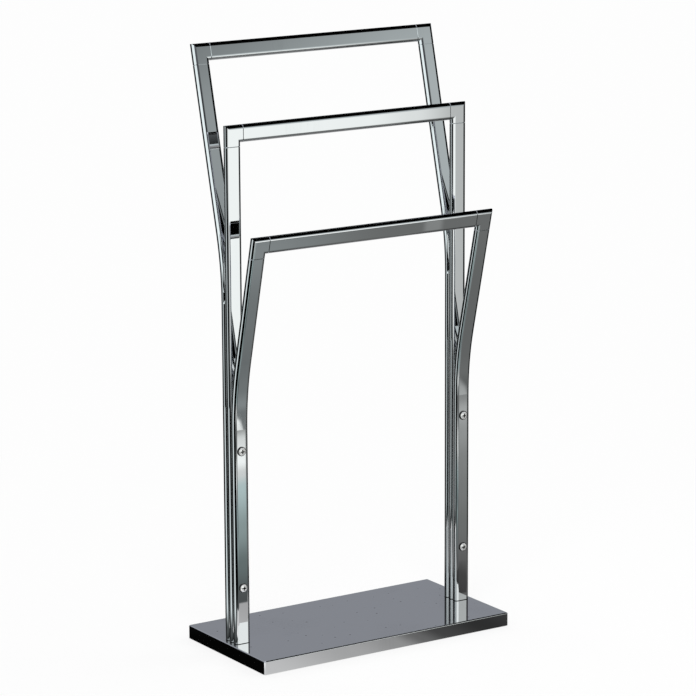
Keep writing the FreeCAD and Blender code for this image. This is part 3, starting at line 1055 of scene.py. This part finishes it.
def make_floor(studio):
    """Pale floor that keeps the stand's soft shadow and fades into the backdrop."""
    bpy.ops.mesh.primitive_circle_add(
        vertices=96, radius=studio.floor_radius, fill_type="NGON", location=(0, 0, 0))
    floor = bpy.context.object
    floor.name = "floor"
    material, bench, surface = stage_material("pale floor")
    shadowed = bench.add("ShaderNodeBsdfDiffuse")
    bench.put((0.93, 0.93, 0.93, 1.0), shadowed.inputs["Color"])
    away = bench.vector("LENGTH", bench.place())
    plain = bench.fade(away, 0.35, studio.floor_radius * 0.7, 0.8, 1.0)
    seen = bench.mix_surfaces(plain, shadowed.outputs[0], bench.emission(page_colour(studio)))
    # Glossy rays see a painted reflection: the floor glows with painted tones, with painted
    # shadow near the stand.
    glossy = bench.add("ShaderNodeLightPath").outputs["Is Glossy Ray"]
    by_ray = bench.mix_surfaces(glossy, seen, bench.emission(painted_floor_reflection(bench)))
    below = bench.add("ShaderNodeNewGeometry").outputs["Backfacing"]
    clear = bench.add("ShaderNodeBsdfTransparent").outputs[0]
    bench.put(bench.mix_surfaces(below, by_ray, clear), surface)
    floor.data.materials.append(material)


def make_lamp(name, place, power):
    """Large soft lamp that lights the stand without showing in its chrome."""
    lamp = bpy.data.lights.new(name, "AREA")
    lamp.shape = "SQUARE"
    lamp.size = LAMP_SIZE
    lamp.energy = power
    holder = bpy.data.objects.new(name, lamp)
    bpy.context.scene.collection.objects.link(holder)
    holder.location = place
    direction = Vector(LAMP_AIM) - Vector(place)
    holder.rotation_euler = direction.to_track_quat("-Z", "Y").to_euler()
    holder.visible_glossy = False


def make_camera(studio):
    """Camera at the photograph's angle: turned, raised and rolled about its target."""
    data = bpy.data.cameras.new("camera")
    data.sensor_width = 36.0
    data.lens = studio.lens
    data.clip_end = 100.0
    camera = bpy.data.objects.new("camera", data)
    bpy.context.scene.collection.objects.link(camera)
    camera.matrix_world = (
        Matrix.Translation(studio.camera_target)
        @ Matrix.Rotation(studio.camera_turn, 4, "Z")
        @ Matrix.Rotation(math.radians(90) - studio.camera_rise, 4, "X")
        @ Matrix.Rotation(studio.camera_roll, 4, "Z")
        @ Matrix.Translation((0.0, 0.0, studio.camera_distance)))
    bpy.context.scene.camera = camera


# ---- operators ----

class TOWELSTAND_OT_clamp_screws(bpy.types.Operator):
    """Model the domed screws that clamp the uprights together"""

    bl_idname = "towelstand.clamp_screws"
    bl_label = "Clamp Screws"

    def execute(self, context):
        screws = make_clamp_screws(context.scene.stand_screws)
        screws.data.materials.clear()
        screws.data.materials.append(screw_finish(context.scene.stand_finishes))
        return {"FINISHED"}


class TOWELSTAND_OT_base_screws(bpy.types.Operator):
    """Model the cap screws that hold the uprights down, and finish the zinc parts"""

    bl_idname = "towelstand.base_screws"
    bl_label = "Base Screws and Washers"

    def execute(self, context):
        screws = make_base_screws(context.scene.stand_screws)
        zinc = zinc_finish(context.scene.stand_finishes)
        screws.data.materials.clear()
        screws.data.materials.append(zinc)
        dress(["base_washers", "rivet_nuts"], zinc)
        return {"FINISHED"}


class TOWELSTAND_OT_tubes(bpy.types.Operator):
    """Chrome the uprights and the rails"""

    bl_idname = "towelstand.tubes"
    bl_label = "Chromed Tubes"

    def execute(self, context):
        finishes = context.scene.stand_finishes
        chrome = chrome_finish(
            "chrome plated tube", finishes, ripple=0.00002, ripple_length=0.05, feet=True)
        dress(ends_of("upright") + ["rail_" + row for row in ROWS], chrome)
        return {"FINISHED"}


class TOWELSTAND_OT_elbows(bpy.types.Operator):
    """Chrome the cast elbows"""

    bl_idname = "towelstand.elbows"
    bl_label = "Chromed Elbows"

    def execute(self, context):
        finishes = context.scene.stand_finishes
        chrome = chrome_finish(
            "chrome plated casting", finishes, ripple=0.00002, ripple_length=0.012)
        dress(ends_of("corner"), chrome)
        return {"FINISHED"}


class TOWELSTAND_OT_base(bpy.types.Operator):
    """Chrome the base cover and paint the weight plate"""

    bl_idname = "towelstand.base"
    bl_label = "Base"

    def execute(self, context):
        finishes = context.scene.stand_finishes
        chrome = chrome_finish(
            "chrome plated sheet", finishes, ripple=0.00003, ripple_length=0.07, specks=True)
        dress(["base_cover"], chrome)
        dress(["ballast_plate"], painted_finish(finishes))
        return {"FINISHED"}


class TOWELSTAND_OT_feet_and_plugs(bpy.types.Operator):
    """Finish the rubber feet and the aluminium foot plugs"""

    bl_idname = "towelstand.feet_and_plugs"
    bl_label = "Feet and Plugs"

    def execute(self, context):
        finishes = context.scene.stand_finishes
        dress(ends_of("foot", ("front", "back")), rubber_finish(finishes))
        dress(ends_of("plug"), aluminium_finish(finishes))
        return {"FINISHED"}


class TOWELSTAND_OT_stage(bpy.types.Operator):
    """Set up the floor, the light and the camera"""

    bl_idname = "towelstand.stage"
    bl_label = "Studio"

    def execute(self, context):
        studio = context.scene.stand_studio
        deselect_everything()
        soft_card_group()
        make_world(studio)
        make_floor(studio)
        make_front_card()
        make_lamp("key lamp", (-1.6, -2.2, 2.6), 55.0)
        make_lamp("fill lamp", (2.2, -0.6, 2.0), 25.0)
        make_lamp("back lamp", (0.3, 2.4, 2.2), 25.0)
        make_camera(studio)
        context.scene.view_settings.view_transform = "Standard"
        return {"FINISHED"}


class TOWELSTAND_PT_panel(bpy.types.Panel):
    """Lists the steps and the values of the towel stand"""

    bl_idname = "TOWELSTAND_PT_panel"
    bl_label = "Towel Stand"
    bl_space_type = "VIEW_3D"
    bl_region_type = "UI"
    bl_category = "Towel Stand"

    def draw(self, context):
        layout = self.layout
        for step in STEPS:
            layout.operator(step.bl_idname)
        for values in GROUPS:
            box = layout.box()
            group = getattr(context.scene, values)
            for name in group.bl_rna.properties.keys():
                if name not in {"rna_type", "name"}:
                    box.prop(group, name)


STEPS = (
    TOWELSTAND_OT_clamp_screws,
    TOWELSTAND_OT_base_screws,
    TOWELSTAND_OT_tubes,
    TOWELSTAND_OT_elbows,
    TOWELSTAND_OT_base,
    TOWELSTAND_OT_feet_and_plugs,
    TOWELSTAND_OT_stage,
)
GROUPS = {
    "stand_screws": StandScrewSizes,
    "stand_finishes": StandFinishes,
    "stand_studio": StandStudio,
}
CLASSES = tuple(GROUPS.values()) + STEPS + (TOWELSTAND_PT_panel,)


def register():
    for kind in CLASSES:
        bpy.utils.register_class(kind)
    for name, kind in GROUPS.items():
        setattr(bpy.types.Scene, name, PointerProperty(type=kind))


def unregister():
    for name in GROUPS:
        delattr(bpy.types.Scene, name)
    for kind in reversed(CLASSES):
        bpy.utils.unregister_class(kind)


def main():
    """Build the whole stand."""
    register()
    bpy.ops.towelstand.clamp_screws()
    bpy.ops.towelstand.base_screws()
    bpy.ops.towelstand.tubes()
    bpy.ops.towelstand.elbows()
    bpy.ops.towelstand.base()
    bpy.ops.towelstand.feet_and_plugs()
    bpy.ops.towelstand.stage()


if __name__ == "__main__":
    main()
